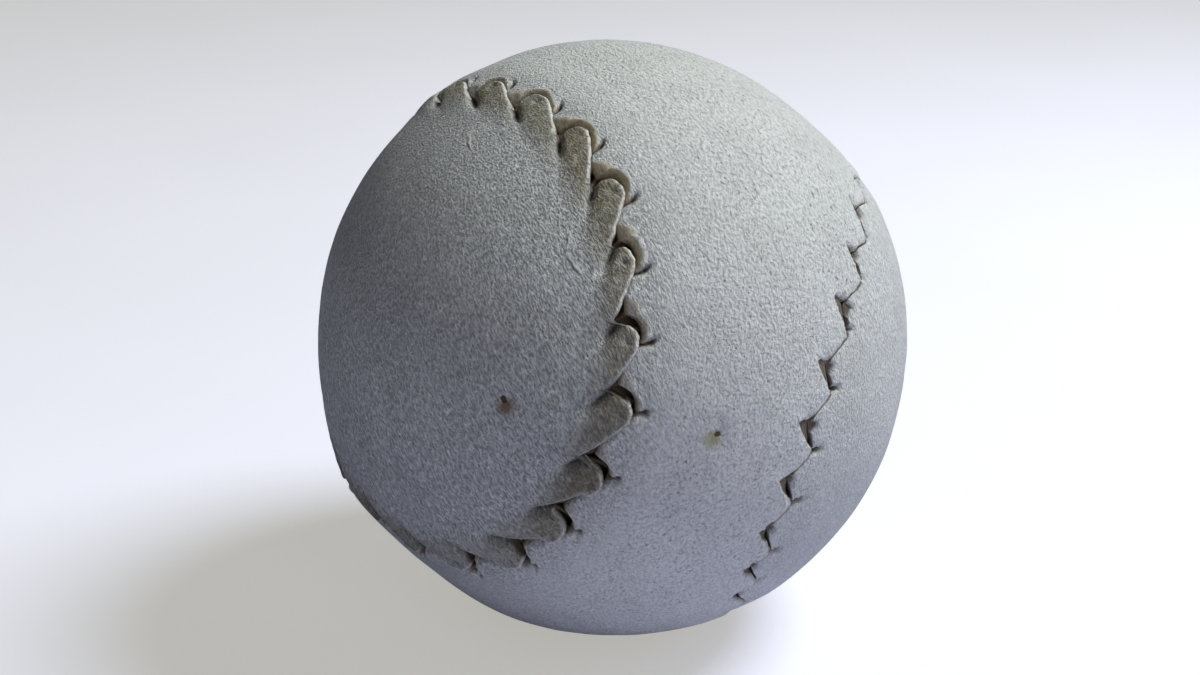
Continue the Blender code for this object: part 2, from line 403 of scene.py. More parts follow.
# Relief of the second panel
LOBE_LEANS = (0.3, -0.35)
LIP_SLIT_DEPTH = 0.6 * MM
LIP_SLIT_WIDTH = 0.17 * MM
LIP_SLIT_WIDENS = (0.3 * MM, 1.4 * MM)
LIP_SLIT_ENDS = (1.2 * MM, 1.75 * MM)
LOBE_SWELLS = (0.2 * MM, 0.08 * MM)
LOBE_SWELL_START = 1.0 * MM
LOBE_SWELL_WIDTH = 4.0 * MM
LOBE_FOLD_DEPTH = 0.35 * MM
LOBE_FOLD_WIDTH = 0.35 * MM
LOBE_FOLD_END = 1.6 * MM
PUCKER_RISE = 0.05 * MM
PUCKER_STEP = 0.62 * MM
PUCKER_TURN = 1.3
PUCKER_SET = 0.9 * MM
PUCKER_WIDTH = 0.6 * MM
ROLL_RISE = 0.15 * MM
ROLL_WIDTH = 0.35 * MM
ROLL_DIP = 0.08 * MM
ROLL_DIP_WIDTH = 0.25 * MM

# The cut wall, the rows above it, and the wax that lies on them
WALL_LEAST = 0.12 * MM
ROW_LEAST = 0.15 * MM
WALL_FLARE = 0.06 * MM
WALL_BULGE = 0.05 * MM
ROUND_WIDTHS = (0.10 * MM, 0.32 * MM)
ROUND_LEAST = 0.2 * MM
ROUND_MORE = 0.4 * MM
ROUND_DROPS = {1: (0.10 * MM, 0.26 * MM), -1: (0.2 * MM, 0.65 * MM)}
LIP_DROP = 0.3 * MM
CUT_ENDS = (0.16 * MM, 0.42 * MM)
WAX_LUMPS = (0.06 * MM, 42.0)
NAP_WIDTH = 4.5 * MM
# Marks of the underside: cut edge, stain, painted shade, nap
UNDERSIDE_MARKS = (0.6, 0.0, 0.3, 1.0)
WAXED_NAP = {1: 0.2, -1: 0.6}

# Creases in the first panel, each from and to a place along the seam and in from it
CREASES = (
    ((347.8 * MM, 5.2 * MM), (345.4 * MM, 6.2 * MM)),
    ((345.4 * MM, 6.2 * MM), (342.2 * MM, 4.8 * MM)),
    ((369.2 * MM, 6.5 * MM), (365.9 * MM, 8.2 * MM)),
)
CREASE_WIDTH = 0.32 * MM

# Swells and dents of a hand-made ball: degrees round its outline in the picture, height, spread in degrees
HAND_MARKS = (
    (50, -0.55 * MM, 11),
    (32, 0.25 * MM, 5),
    (105, 0.33 * MM, 12),
    (122, 0.20 * MM, 4),
    (178, -0.25 * MM, 14),
    (210, 0.45 * MM, 5),
    (232, -0.40 * MM, 7),
    (297, 0.28 * MM, 9),
    (355, -0.30 * MM, 12),
)

# Slow lumps of the stuffing: height, and how many in a radius
HAND_LUMPS = ((0.10 * MM, 3.1), (0.05 * MM, 11.0))
DIMPLE_DEPTH = 0.25 * MM
DIMPLE_WIDTH = 0.8 * MM

# The thread, the windings and the core
THREAD_TWIST = 2.2 * MM
THREAD_PLIES = 3
PLY_DEPTH = 0.1
TURN_LAYING = 0.6
TURN_ARCH = 0.4
SOAKED_WIDTH = 3 * MM
TOOL_RINGS = 46
TOOL_RING = 0.012 * MM
PIP_DEPTH = 0.25 * MM
PIP_WIDTH = 0.09

# Shapes


def unit(vectors):
    return vectors / np.linalg.norm(vectors, axis=-1, keepdims=True)


def ease(low, high, values):
    """Smooth step from 0 at low to 1 at high."""
    share = np.clip((values - low) / (high - low), 0.0, 1.0)
    return share * share * (3 - 2 * share)


def fade(low, high, values):
    """Smooth step from 1 at low to 0 at high."""
    return 1 - ease(low, high, values)


def bell(values, width):
    """1 at 0, falling off over the width."""
    return np.exp(-((values / width) ** 2))


def mixed(share, first, second):
    return first + (second - first) * share


def soft_max(first, second, width):
    """The larger of the two, rounded over the width where they cross."""
    return 0.5 * (first + second + np.sqrt((first - second) ** 2 + width**2))


def marked(run, marks):
    """What the marks of the hand add up to at these places along the seam."""
    return sum(much * bell(run - place, width) for place, much, width in marks)


def lumps(ways, count):
    """Smooth unevenness, from -1 to 1, with about this many swells in a radius."""
    return np.array([noise.noise(Vector(way) * count) for way in ways])


def arc_between(start, end, share):
    """Directions a share of the way along the great arcs from start to end."""
    angle = np.arccos(np.clip((start * end).sum(axis=-1), -1.0, 1.0))[..., None]
    return (np.sin((1 - share) * angle) * start + np.sin(share * angle) * end) / np.sin(angle)


def camera_axes(stage):
    """The camera's ways right, up and back."""
    rise, level = math.sin(stage.elevation), math.cos(stage.elevation)
    return np.array([[1.0, 0.0, 0.0], [0.0, rise, level], [0.0, -level, rise]])


def outline_way(angle):
    """The direction of a point of the ball's outline, as the camera sees it, from the ball's centre."""
    scene = bpy.context.scene
    nearer = scene.fronton_ball.diameter / 2 / scene.fronton_stage.distance
    right, up, back = camera_axes(scene.fronton_stage)
    return unit(math.cos(angle) * right + math.sin(angle) * up + nearer * back)


class SeamLine:
    """The closed line where the two panels meet, at even steps of its own turn."""

    def __init__(self, ball):
        self.radius = ball.diameter / 2
        self.turn = np.linspace(0.0, FULL_TURN, FINE_COLUMNS, endpoint=False)
        x = np.cos(self.turn) + SEAM_FOLD * np.cos(3 * self.turn)
        y = np.sin(self.turn) - SEAM_FOLD * np.sin(3 * self.turn)
        z = SEAM_RISE * np.sin(2 * self.turn)
        even = unit(np.stack([x, y, z], axis=1))
        wander = ball.wander / self.radius * np.cos(self.turn - WANDER_START)
        self.points = unit(even + wander[:, None] * self.sideways(even))
        self.across = self.sideways(self.points)
        steps = np.linalg.norm(np.roll(self.points, -1, axis=0) - self.points, axis=1) * self.radius
        self.length = steps.sum()
        self.run = np.concatenate([[0.0], np.cumsum(steps)[:-1]])
        self.lay = np.array(Euler(ball.turn).to_matrix())

    @staticmethod
    def sideways(points):
        along = np.roll(points, -1, axis=0) - np.roll(points, 1, axis=0)
        return np.cross(points, unit(along))

    def read(self, values, run):
        columns = [np.interp(run, self.run, values[:, axis], period=self.length) for axis in range(3)]
        return unit(np.stack(columns, axis=-1))

    def place(self, run, offset):
        """Directions at these distances along the seam, pushed over the first panel by these offsets."""
        angle = (np.asarray(offset) / self.radius)[..., None]
        return np.cos(angle) * self.read(self.points, run) + np.sin(angle) * self.read(self.across, run)

    def laid(self, directions):
        """Turns directions from the ball's own frame to the way it lies on the floor."""
        return directions @ self.lay.T


class Stitches:
    """Where the holes of the two panels lie along the seam, and the lines that their cut edges follow."""

    def __init__(self, seam, sewing):
        self.seam = seam
        self.count = sewing.stitches
        self.swing = sewing.swing
        self.pitch = seam.length / self.count
        rng = np.random.default_rng(sewing.seed)
        run = np.linspace(0.0, seam.length, PHASE_STEPS)
        share = run / seam.length
        wave = np.sin(FULL_TURN * (share - DRIFT_PLACE))
        phase = self.count * (share + SPACING_DRIFT / FULL_TURN * wave) + FIRST_HOLE
        holes = math.ceil(phase[0]) + np.arange(self.count)
        jitter = rng.uniform(*HOLE_DRAW, (2, self.count)) * self.pitch
        start = np.interp(holes, phase, run) + jitter[0]
        lag = LAG - LAG_SWING * np.sin(2 * FULL_TURN * (start / seam.length - LAG_PLACE))
        step = np.diff(np.append(start, start[0] + seam.length))
        first = start + sewing.slip * (1 - self.tongue(start)) * rng.uniform(*SLIP_DRAW, self.count)
        self.step = np.diff(np.append(first, first[0] + seam.length))
        self.holes = {1: first, -1: start + np.clip(lag, *LAG_LIMITS) * step + jitter[1]}
        self.pocket = sewing.pocket * rng.uniform(*POCKET_DRAW, self.count) + marked(first, WIDE_POCKETS)
        self.fullness = rng.uniform(*FULLNESS_DRAW, self.count) + marked(first, SHORT_TONGUES)
        swing = np.cos(2 * FULL_TURN * (first / seam.length - GAPE_PLACE))
        self.gape = rng.uniform(*GAPE_DRAW, self.count) + GAPE_SWING * swing
        self.wing = rng.uniform(*WING_DRAW, self.count)
        self.ragged = rng.uniform(-1.0, 1.0, (2, round(seam.length / FRAY_STEP)))
        self.soil = rng.uniform(*SOIL_DRAW, self.count)

    def phase(self, side, run):
        """Stitches counted along the seam, whole at each hole of that panel."""
        holes = self.holes[side]
        length = self.seam.length
        known = np.concatenate([holes[-2:] - length, holes, holes[:2] + length])
        return np.interp(np.mod(run, length), known, np.arange(-2, self.count + 2))

    def each(self, values, phase):
        """A value for each stitch, read at the nearest hole."""
        return values[np.round(phase).astype(int) % self.count]

    def fray(self, row, run):
        """Small unevenness of a cut edge, from -1 to 1."""
        values = self.ragged[row]
        places = np.arange(len(values)) * self.seam.length / len(values)
        return np.interp(run, places, values, period=self.seam.length)

    def tongue(self, run):
        """1 where the first panel ends in long tongues, 0 where both panels end in plain gathered lobes."""
        wave = 0.5 + 0.5 * np.cos(FULL_TURN * (run / self.seam.length - TONGUE_PLACE))
        return ease(0.2, 0.8, wave)

    def to_next(self, run):
        """The first panel's stitch at these places, and how far off its end is at a tongue's full step."""
        phase = self.phase(1, run)
        index = np.floor(phase).astype(int)
        return index, (1 - phase + index) * TONGUE_STEP

    def tongue_end(self, left, index, pocket):
        """How far a tongue reaches over the second panel, this far before the next hole."""
        centre = TONGUE_CENTRE[0] + pocket[index % self.count]
        turn = centre + TONGUE_HALF * math.sin(TONGUE_LEAN)
        straight = TONGUE_HALF * math.cos(TONGUE_LEAN) - (left - turn) * math.tan(TONGUE_LEAN)
        arch = np.sqrt(np.maximum(TONGUE_HALF**2 - (left - centre) ** 2, 0.0))
        fall = (left + TONGUE_HALF - centre) * TONGUE_FALL
        end = np.where(left > turn, straight, np.where(left > centre - TONGUE_HALF, arch, fall))
        end = (end + TONGUE_CENTRE[1] + NOTCH) * self.fullness[index % self.count] - NOTCH
        return end * self.step[index % self.count] / TONGUE_STEP

    def tongue_line(self, run, pocket):
        index, left = self.to_next(run)
        here = self.tongue_end(left, index, pocket)
        return np.maximum(here, self.tongue_end(left + TONGUE_STEP, index + 1, pocket))

    def lobe_line(self, index, share):
        """The seam's swing between plain lobes, and where it turns in each stitch."""
        later = np.mod(self.holes[-1] - self.holes[1], self.seam.length)
        lag = (later / self.step)[index]
        rise = np.where(share < lag, share / lag, (1 - share) / (1 - lag))
        return -self.swing * np.cos(np.pi * rise), lag

    def edges(self, run):
        """How far both cut edges lie over the second panel, its lip's width, and a mask of the bare rims."""
        phase = self.phase(1, run)
        share = phase - np.floor(phase)
        lobes, lag = self.lobe_line(np.floor(phase).astype(int) % self.count, share)
        blend = self.tongue(run)
        lip = blend * np.maximum(ease(lag - 0.06, lag + 0.08, share), fade(0.02, 0.24, share))
        tongue = self.tongue_line(run, self.pocket)
        closed = self.tongue_line(run, LIP_POCKET * self.pocket)
        covered = np.maximum(closed, LIP_EDGE)
        crest = soft_max(closed, LIP_BASE, LIP_ROUND) + LIP_REACH
        rim = blend * (1 - 0.7 * ease(*RIM_COVERED, covered - tongue))
        shift = marked(run, STRAYS) + SEAM_FRAY * self.fray(0, run)
        ragged = self.fray(1, run)
        past = self.phase(-1, run)
        below = fade(0.3, 0.75, past - np.floor(past))
        gap = (LOBE_GAP + LOBE_GAP_BELOW * below) * (0.75 + 0.5 * ragged)
        ends = tongue + TONGUE_FRAY * ragged * ease(0.0, FRAYED_OVER, covered - tongue + FRAYED_OVER)
        first = mixed(blend, lobes, ends) + shift - EDGE_GAP
        second = mixed(blend, lobes, covered) + shift + EDGE_GAP + (1 - blend) * gap + LIP_GAP * lip
        return first, second, lip * np.maximum(crest - covered, LIP_LEAST), rim


class LeatherPanel:
    """One leather panel on the given side of the seam, +1 or -1."""

    def __init__(self, ball, seam, stitches, side, pinhole):
        self.seam = seam
        self.stitches = stitches
        self.side = side
        self.waist = np.array([0.0, 0.0, side])
        self.lobe_way = unit(np.array([1.0, -side, 0.0]))
        self.radius = ball.diameter / 2
        self.inside = self.radius - ball.leather + LINING_GAP
        self.foot = self.radius - ball.leather + FOOT_RISE
        self.tongue = stitches.tongue(seam.run)
        first, second, self.lip, self.rim = stitches.edges(seam.run)
        self.lipped = np.clip(self.lip / LIP_FULL, 0.0, 1.0)
        self.edge = -first if side > 0 else second
        self.notch = self.notches(WING[0] * stitches.wing, WING[1]) if side > 0 else self.notches(*TRIANGLE)
        run, inset = pinhole
        self.pinhole = seam.laid(seam.place(np.array([run]), np.array([side * inset])))[0]
        creases = [np.array(ends).T for ends in CREASES] if side > 0 else []
        self.creases = [seam.laid(seam.place(*ends)).tolist() for ends in creases]
        self.points = []
        # Marks for the material: cut edge, wax stain, painted shade in the folds (crease), nap
        self.marks = {"cut": [], "stain": [], "crease": [], "nap": []}
        self.faces = []

    def notches(self, reach, length):
        """Notches at the second panel's holes, widest at the hole, that narrow away along the seam."""
        sewn = self.stitches
        phase = sewn.phase(-1, self.seam.run)
        past = (phase - np.floor(phase)) * sewn.pitch
        before = (np.ceil(phase) - phase) * sewn.pitch
        notch = np.maximum(1 - past / (length * sewn.each(sewn.gape, phase)), 1 - before / NOTCH_RISE)
        size = sewn.each(reach * sewn.gape, phase) * (1 - self.tongue)
        return size * np.clip(notch, 0.0, 1.0) ** NOTCH_CURVE

    def relief(self, inset, depth):
        """Height over the ball, stain and crease, this far in from the seam and from the cut edge."""
        inside = np.maximum(inset, 0.0)
        shape = self.tongue_relief if self.side > 0 else self.lobe_relief
        height, stain, crease = shape(inside, depth)
        dent = ease(-DENT_EDGE, DENT_EDGE, self.notch - depth) * ease(0.0, DENT_LEAST, self.notch)
        sink = SINK - SINK_LESS[self.side] * self.tongue
        height = height - DENT_DEPTH * dent - sink * bell(inside, SINK_WIDTH)
        # The notches are dented and also painted darker: painted shade.
        return height, stain, np.maximum(crease, 0.7 * dent)

    def tongue_relief(self, inside, depth):
        """The first panel: tongues parted by slanting folds, or plain lobes with a slit at each hole."""
        sewn = self.stitches
        run = self.seam.run
        tongue = self.tongue
        lean = mixed(tongue, *FOLD_LEANS)
        slant = np.sqrt(1 + lean**2)
        phase = sewn.phase(1, run + lean * (inside - TONGUE_HOLE * tongue))
        share = phase - np.floor(phase)
        beside = (phase - np.round(phase)) * sewn.pitch / slant
        half = 0.5 * sewn.pitch / slant
        along = (inside - TONGUE_TOP) * slant - lean * beside
        fold = tongue * self.fold(beside, along, half, inside)
        slit = (1 - tongue) * bell(beside, SLIT_WIDTH) * fade(*SLIT_ENDS, inside)
        bow = np.sin(np.pi * share) ** 0.6
        swell = mixed(tongue, *SWELLS) * bow * ease(0.0, SWELL_START, depth) * fade(*SWELL_ENDS, inside)
        rim = RIM_RISE * self.rim * tongue * bell(depth - RIM_SET, RIM_WIDTH)
        hole = tongue * self.stitch_hole(depth)
        stain = tongue * fade(*STAIN_ENDS, inside - STAIN_FARTHER * marked(run, WAXED_LIPS))
        stain = stain * sewn.each(sewn.soil, phase - 0.5) * ease(0.0, 0.25, share) * fade(0.9, 1.0, share)
        stain = stain * (1 - marked(run, GREYED_TONGUES))
        height = swell + rim - FOLD_DEPTH * fold - SLIT_DEPTH * slit - HOLE_DEPTH * hole
        # Painted shade in the folds, slits and stitch holes; the tongues in one stretch are darkened further
        # with the same colour
        darkened = np.maximum(stain * marked(run, DARKENED_TONGUES), 0.5 * hole)
        return height, stain, np.maximum(np.clip(fold + slit, 0.0, 1.0), darkened)

    @staticmethod
    def fold(beside, along, half, inside):
        """1 in the fold round a tongue's tip and down its side, fading away from the seam."""
        corner = half - np.clip(along, 0.0, half)
        outline = -half + np.sqrt(np.maximum(half**2 - corner**2, 0.0))
        hollow = ease(-FOLD_SIDE, FOLD_SIDE, beside - outline) * fade(*FOLD_OPEN, beside)
        groove = bell(beside, GROOVE_WIDTH + GROOVE_SPREAD * inside)
        fold = np.maximum(hollow, 0.75 * groove) * fade(half, half + FOLD_FADE, along)
        return np.clip(fold, 0.0, 1.0)

    def stitch_hole(self, depth):
        """1 at the hole near each tongue's tip, where the thread goes down."""
        sewn = self.stitches
        index, left = sewn.to_next(self.seam.run)
        aside = left - TONGUE_CENTRE[0] - sewn.pocket[index % sewn.count]
        return bell(aside, HOLE_WIDTHS[0]) * bell(depth - HOLE_SET, HOLE_WIDTHS[1])

    def lobe_relief(self, inside, depth):
        """The second panel: a rolled lip round each tongue and a slit beside it, or gathered lobes."""
        sewn = self.stitches
        run = self.seam.run
        tongue = self.tongue
        lean = mixed(tongue, *LOBE_LEANS)
        phase = sewn.phase(-1, run + lean * inside)
        share = phase - np.floor(phase)
        beside = (phase - np.round(phase)) * sewn.pitch / np.sqrt(1 + lean**2)
        slit_width = LIP_SLIT_WIDTH * (1 + ease(*LIP_SLIT_WIDENS, depth))
        slit = tongue * bell(beside, slit_width) * fade(*LIP_SLIT_ENDS, depth)
        bow = np.sin(np.pi * share) ** 0.7
        swell = mixed(tongue, *LOBE_SWELLS) * bow * ease(0.0, LOBE_SWELL_START, depth)
        swell = swell * bell(inside, LOBE_SWELL_WIDTH)
        fold = (1 - tongue) * bell(beside, LOBE_FOLD_WIDTH) * fade(0.0, LOBE_FOLD_END, depth)
        pucker = PUCKER_RISE * np.cos(FULL_TURN * (depth / PUCKER_STEP + PUCKER_TURN * share))
        pucker = pucker * bell(depth - PUCKER_SET, PUCKER_WIDTH) * (1 - tongue) * fade(0.35, 0.75, share)
        roll = ROLL_RISE * bell(depth - 0.7 * self.lip, ROLL_WIDTH)
        roll = self.lipped * (roll - ROLL_DIP * bell(depth - 1.3 * self.lip, ROLL_DIP_WIDTH))
        stain = self.lipped * fade(0.6, 1.25, depth / np.maximum(self.lip, LIP_NARROW))
        stain = stain * mixed(marked(run, WAXED_LIPS), 0.25, 1.0)
        height = swell + roll + pucker - LIP_SLIT_DEPTH * slit - LOBE_FOLD_DEPTH * fold
        # Painted shade in the lip's slits and in the folds between the lobes
        return height, stain, np.clip(0.8 * slit + 0.2 * fold, 0.0, 1.0)

    def hand(self, directions):
        """Slow unevenness of the stuffing and the hide, with the dimple of the pinhole."""
        laid = self.seam.laid(directions)
        height = sum(rise * lumps(laid, count) for rise, count in HAND_LUMPS)
        for angle, rise, width in HAND_MARKS:
            apart = np.arccos(np.clip(laid @ outline_way(math.radians(angle)), -1.0, 1.0))
            height += rise * bell(apart, math.radians(width) * math.sqrt(2))
        apart = np.arccos(np.clip(laid @ self.pinhole, -1.0, 1.0)) * self.radius
        return height - DIMPLE_DEPTH * bell(apart, DIMPLE_WIDTH)

    def ring(self, directions, radii, cut, stain, crease, nap):
        """Adds a row of points and gives back their numbers."""
        count = len(directions)
        start = sum(len(row) for row in self.points)
        radii = np.broadcast_to(radii, count)
        self.points.append(self.seam.laid(directions * radii[:, None]))
        for name, values in zip(self.marks, (cut, stain, crease, nap)):
            self.marks[name].append(np.broadcast_to(values, count))
        return start + np.arange(count)

    def bridge(self, near, far):
        """Quads between two closed rows, or fans where the far row has fewer points."""
        step = len(near) // len(far)
        after = np.roll(far, -1)
        if step == 1:
            self.faces += np.stack([near, np.roll(near, -1), after, far], axis=1).tolist()
            return
        near = np.append(near, near[0])
        half = step // 2
        for i, (here, there) in enumerate(zip(far.tolist(), after.tolist())):
            row = near[i * step : (i + 1) * step + 1].tolist()
            for k in range(step):
                self.faces.append([row[k], row[k + 1], here if k < half else there])
            self.faces.append([row[half], there, here])

    def middle_row(self, row):
        """Numbers of the middle line's points, where the columns of the two sides meet."""
        count = FINE_COLUMNS // COLUMN_STEP
        mirror = (3 if self.side > 0 else 1) * count // 4
        return np.array([row[min(i, (mirror - i) % count)] for i in range(count)])

    def columns(self):
        """Directions where the plain part of each coarse column starts and ends."""
        turn = self.seam.turn[::COLUMN_STEP]
        lean = MIDDLE_LINE * np.sin(math.pi / 4 - self.side * turn)[:, None]
        middle = np.cos(lean) * self.waist + np.sin(lean) * self.lobe_way
        start = self.seam.place(self.seam.run[::COLUMN_STEP], np.full(len(turn), self.side * EDGE_ZONE))
        return start, middle

    def underside_rows(self):
        """The underside, from the panel's middle line to the gathered edge."""
        start, middle = self.columns()
        rows = []
        for share in np.linspace(1.0, 0.0, UNDERSIDE_ROWS):
            rows.append(self.ring(arc_between(start, middle, share), self.inside, *UNDERSIDE_MARKS))
        return [self.middle_row(rows[0]), *rows[1:]]

    def wall_rows(self, round_drop):
        """The cut edge, from its foot up to where it rounds over."""
        run = self.seam.run
        height, stain, _ = self.relief(self.edge, np.zeros(len(run)))
        top = self.radius + height - round_drop + self.hand(self.seam.place(run, self.side * self.edge))
        top = np.maximum(top, self.foot + WALL_LEAST)
        rows = []
        for share in np.linspace(0.0, 1.0, WALL_ROWS):
            out = WALL_FLARE * (1 - share) - WALL_BULGE * math.sin(math.pi * share)
            ways = self.seam.place(run, self.side * (self.edge + out))
            # Painted shade: the cut wall is painted darker, most at its foot
            dark = mixed(self.tongue, 0.95 - 0.4 * share, 0.8 - 0.75 * share)
            rows.append(self.ring(ways, mixed(share, self.foot, top), 1.0, stain, dark, 1.0))
        return rows

    def edge_rows(self, round_width, round_drop, bare):
        """The gathered leather along the seam, in fine rows."""
        run = self.seam.run
        rows = []
        for depth in EDGE_ZONE * np.linspace(0.0, 1.0, EDGE_ROWS)[1:] ** EDGE_CROWDING:
            inset = self.edge * fade(0.0, EDGE_ZONE, depth) + depth
            height, stain, crease = self.relief(inset, np.full(len(run), depth))
            fallen = 1 - np.sqrt(1 - np.clip(1 - depth / round_width, 0.0, 1.0) ** 2)
            ways = self.seam.place(run, self.side * inset)
            radii = self.radius + height + self.hand(ways) - round_drop * fallen
            radii = np.maximum(radii, self.foot + ROW_LEAST)
            radii += WAX_LUMPS[0] * stain * lumps(ways, WAX_LUMPS[1])
            nap = self.edge_nap(self.tongue) if self.side > 0 else 0.9 * self.tongue * bell(inset, NAP_WIDTH)
            nap = nap * (1 - WAXED_NAP[self.side] * stain)
            rows.append(self.ring(ways, radii, bare * fade(*CUT_ENDS, depth), stain, crease, nap))
        return rows

    @staticmethod
    def edge_nap(tongue):
        """The first panel's nap along the seam, worn down where its edge is plain."""
        return mixed(tongue, 0.45, 1.0)

    def plain_rows(self):
        """The smooth leather between the gathered edge and the panel's middle line."""
        start, middle = self.columns()
        tongue = self.tongue[::COLUMN_STEP]
        edge_nap, middle_nap = (self.edge_nap(tongue), 0.75) if self.side > 0 else (0.0, 0.0)
        rows = []
        for share in np.linspace(0.0, 1.0, INNER_ROWS)[1:]:
            ways = arc_between(start, middle, share)
            nap = mixed(share, edge_nap, middle_nap)
            rows.append(self.ring(ways, self.radius + self.hand(ways), 0.0, 0.0, 0.0, nap))
        return [*rows[:-1], self.middle_row(rows[-1])]

    def rounding(self):
        """How far in the cut edge is rounded, how far down, and how bare it is."""
        drop = mixed(self.tongue, *ROUND_DROPS[self.side])
        if self.side > 0:
            return mixed(self.tongue, *ROUND_WIDTHS), drop, self.rim
        width = ROUND_LEAST + np.maximum(ROUND_MORE * self.tongue, self.lip)
        drop = drop + np.minimum(0.5 * self.lip, LIP_DROP)
        return width, drop, 0.8 * self.lipped + 0.5 * (1 - self.tongue)

    def build(self, name):
        width, drop, bare = self.rounding()
        rows = self.underside_rows() + self.wall_rows(drop)
        rows += self.edge_rows(width, drop, bare) + self.plain_rows()
        for near, far in zip(rows, rows[1:]):
            if len(near) < len(far):
                near, far = far, near
            self.bridge(near, far)
        points = np.concatenate(self.points)
        used = np.unique(np.concatenate([np.ravel(face) for face in self.faces]))
        number = np.full(len(points), -1)
        number[used] = np.arange(len(used))
        data = bpy.data.meshes.new(name)
        data.from_pydata(points[used].tolist(), [], [number[face].tolist() for face in self.faces])
        marks = {mark: np.concatenate(values)[used] for mark, values in self.marks.items()}
        return finished(data, marks)


def keep_marks(data, marks):
    """Keeps a value for each point of a mesh as an attribute that its material reads."""
    for name, values in marks.items():
        layer = data.attributes.new(name, "FLOAT", "POINT")
        layer.data.foreach_set("value", np.asarray(values, np.float32))


def finished(data, marks):
    """Turns a mesh's faces outward, smooths them and keeps its marks."""
    keep_marks(data, marks)
    mesh = bmesh.new()
    mesh.from_mesh(data)
    bmesh.ops.recalc_face_normals(mesh, faces=mesh.faces)
    mesh.to_mesh(data)
    mesh.free()
    data.shade_smooth()
    return data


def new_mesh(name, mesh):
    """Moves what bmesh built into a new mesh."""
    data = bpy.data.meshes.new(name)
    mesh.to_mesh(data)
    mesh.free()
    return data


def smooth_path(points, steps):
    """A closed smooth curve through the points, with this many steps from each to the next."""
    before, after, later = np.roll(points, 1, 0), np.roll(points, -1, 0), np.roll(points, -2, 0)
    rows = []
    for share in np.arange(steps) / steps:
        bend = 2 * before - 5 * points + 4 * after - later
        twist = 3 * points - before - 3 * after + later
        rows.append(points + 0.5 * share * (after - before + share * (bend + share * twist)))
    return np.stack(rows, axis=1).reshape(-1, 3)


def thread_path(seam, stitches):
    """The thread's way from hole to hole, under and over the seam."""
    first, second = stitches.holes[1], stitches.holes[-1]
    tongue = stitches.tongue(first)
    ahead = np.append(first[1:], first[0] + seam.length)
    # Stops of each stitch: where along the seam, how far over the first panel, how far under the surface
    stops = [
        (first - 1.6 * MM * tongue, 2.5 * MM, 1.25 * MM),
        (first, 1.0 * MM, 1.05 * MM),
        (0.6 * first + 0.4 * second, -0.2 * MM, 1.15 * MM),
        (second, -0.9 * MM - 0.6 * MM * tongue, 0.85 * MM),
        (second + 0.4 * MM, -2.6 * MM, 1.3 * MM),
        (0.5 * second + 0.5 * ahead, -0.3 * MM, 1.4 * MM),
    ]
    rows = [seam.place(run, np.full(len(run), offset)) * (seam.radius - low) for run, offset, low in stops]
    return smooth_path(seam.laid(np.stack(rows, axis=1).reshape(-1, 3)), THREAD_STEPS)


def thread_mesh(seam, stitches, diameter):
    """The waxed thread: plies twisted together, along the thread's way."""
    path = thread_path(seam, stitches)
    along = unit(np.roll(path, -1, 0) - np.roll(path, 1, 0))
    side = unit(np.cross(along, path))
    up = np.cross(side, along)
    steps = np.linalg.norm(np.roll(path, -1, 0) - path, axis=1)
    twist = FULL_TURN * np.cumsum(steps) / THREAD_TWIST
    mesh = bmesh.new()
    rings = []
    for k, point in enumerate(path[:-1]):
        ring = []
        for corner in range(THREAD_SIDES):
            angle = FULL_TURN * corner / THREAD_SIDES
            reach = diameter / 2 * (1 - PLY_DEPTH + PLY_DEPTH * math.cos(THREAD_PLIES * angle))
            turned = angle + twist[k]
            way = math.cos(turned) * side[k] + math.sin(turned) * up[k]
            ring.append(mesh.verts.new(point + reach * way))
        rings.append(ring)
    for near, far in zip(rings, rings[1:]):
        for k in range(THREAD_SIDES):
            after = (k + 1) % THREAD_SIDES
            mesh.faces.new((near[k], near[after], far[after], far[k]))
    mesh.faces.new(rings[0])
    mesh.faces.new(rings[-1])
    return finished(new_mesh("waxed_seam_thread", mesh), {})


def wound_mesh(name, outside, winding, seam, seed):
    """A hollow ball of turns wound over each other at all angles, soaked with wax under the seam."""
    rng = np.random.default_rng(seed)
    ball = bmesh.new()
    bmesh.ops.create_icosphere(ball, subdivisions=WINDING_OUTSIDE, radius=1.0)
    bmesh.ops.create_icosphere(ball, subdivisions=WINDING_INSIDE, radius=outside - winding.build)
    data = new_mesh(name, ball)
    points = np.array([vertex.co for vertex in data.vertices])
    # The outside is still a ball of unit radius, and the inside has its own size
    outer = np.linalg.norm(points, axis=1) > 0.5
    ways = unit(points[outer])
    height = np.full(len(ways), -winding.thickness)
    across, along, tone = np.zeros((3, len(ways)))
    for turn in range(winding.turns):
        pole, start = unit(rng.normal(size=(2, 3)))
        start = unit(start - pole * (start @ pole))
        level = winding.thickness * (turn / winding.turns - 1) * TURN_LAYING
        apart = np.arcsin(np.clip(ways @ pole, -1.0, 1.0)) * outside / (winding.width / 2)
        arch = level - winding.thickness * TURN_ARCH * (1 - np.sqrt(np.maximum(1 - apart**2, 0.0)))
        on_top = (np.abs(apart) < 1) & (arch > height)
        height[on_top] = arch[on_top]
        across[on_top] = apart[on_top]
        along[on_top] = np.arctan2(ways @ np.cross(pole, start), ways @ start)[on_top] * outside
        tone[on_top] = rng.uniform()
    points[outer] = ways * (outside + height)[:, None]
    data.vertices.foreach_set("co", points.ravel())
    closest = np.max(ways @ seam.laid(seam.points[::SOAKED_STEP]).T, axis=1)
    soaked = bell(np.arccos(np.clip(closest, -1.0, 1.0)) * outside, SOAKED_WIDTH)
    marks = {}
    for label, values in (("across", across), ("along", along), ("tone", tone), ("soaked", soaked)):
        marks[label] = np.zeros(len(points))
        marks[label][outer] = values
    keep_marks(data, marks)
    inner_faces = [face for face in data.polygons if not outer[face.vertices[0]]]
    for face in inner_faces:
        face.flip()
    data.shade_smooth()
    return data


